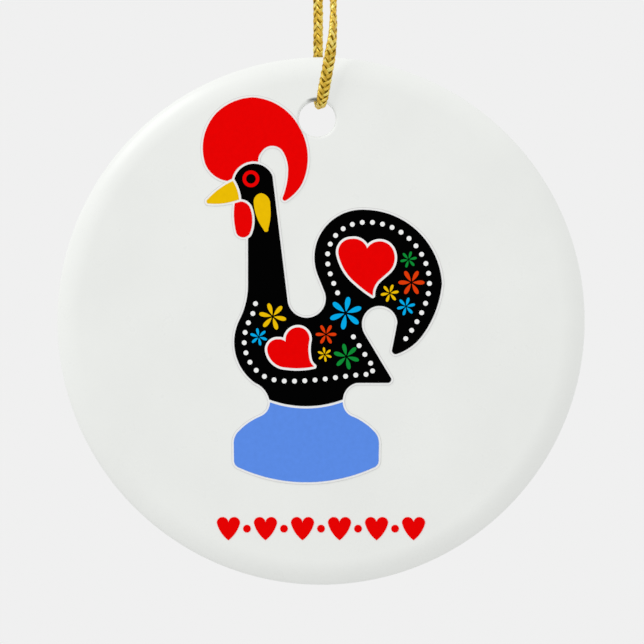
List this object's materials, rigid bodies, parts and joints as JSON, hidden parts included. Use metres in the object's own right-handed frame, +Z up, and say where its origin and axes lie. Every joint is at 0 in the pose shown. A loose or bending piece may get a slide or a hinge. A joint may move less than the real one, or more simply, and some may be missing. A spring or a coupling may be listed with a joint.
{
  "type": "hanging ornament",
  "caption": "Round white glazed porcelain ornament printed with a traditional folk rooster, hung by a knotted gold braided cord through a hole near its rim.",
  "frame": {"origin": "inside the top of the cord's loop, just under its knot, where a hook carries it", "axes": "+Z up along the hanging cord, the printed face looks along -Y, +X to the right of it"},
  "size_m": [0.073, 0.0068, 0.1379],
  "materials": {
    "porcelain": "glossy white glaze",
    "white_ink": "fired-on colour, semi-gloss",
    "black_ink": "fired-on colour, semi-gloss",
    "red_ink": "fired-on colour, semi-gloss",
    "yellow_ink": "fired-on colour, semi-gloss",
    "blue_ink": "fired-on colour, semi-gloss",
    "sky_blue_ink": "fired-on colour, semi-gloss",
    "orange_ink": "fired-on colour, semi-gloss",
    "green_ink": "fired-on colour, semi-gloss",
    "gold_cord": "metallic gold thread, braided"
  },
  "bodies": {
    "cord": {"hanging_cord": "gold_cord", "cord_knot": "gold_cord", "cord_tails": "gold_cord"},
    "disc": {"disc": "porcelain", "white_underprint": "white_ink", "black_body": "black_ink", "blue_base": "blue_ink", "red_comb": "red_ink", "red_wattle": "red_ink", "yellow_beak": "yellow_ink", "red_eye_ring": "red_ink", "yellow_ear_lobe": "yellow_ink", "white_heart_borders": "white_ink", "red_hearts": "red_ink", "white_dots": "white_ink", "yellow_flowers": "yellow_ink", "sky_blue_flowers": "sky_blue_ink", "orange_flowers": "orange_ink", "green_flowers": "green_ink", "red_border": "red_ink"}
  },
  "joints": [
    {"name": "disc_swing", "type": "hinge", "parent": "cord", "child": "disc", "pos_m": [0, 0, -0.058], "axis": [0, 1, 0], "range_deg": [-60, 60]}
  ]
}
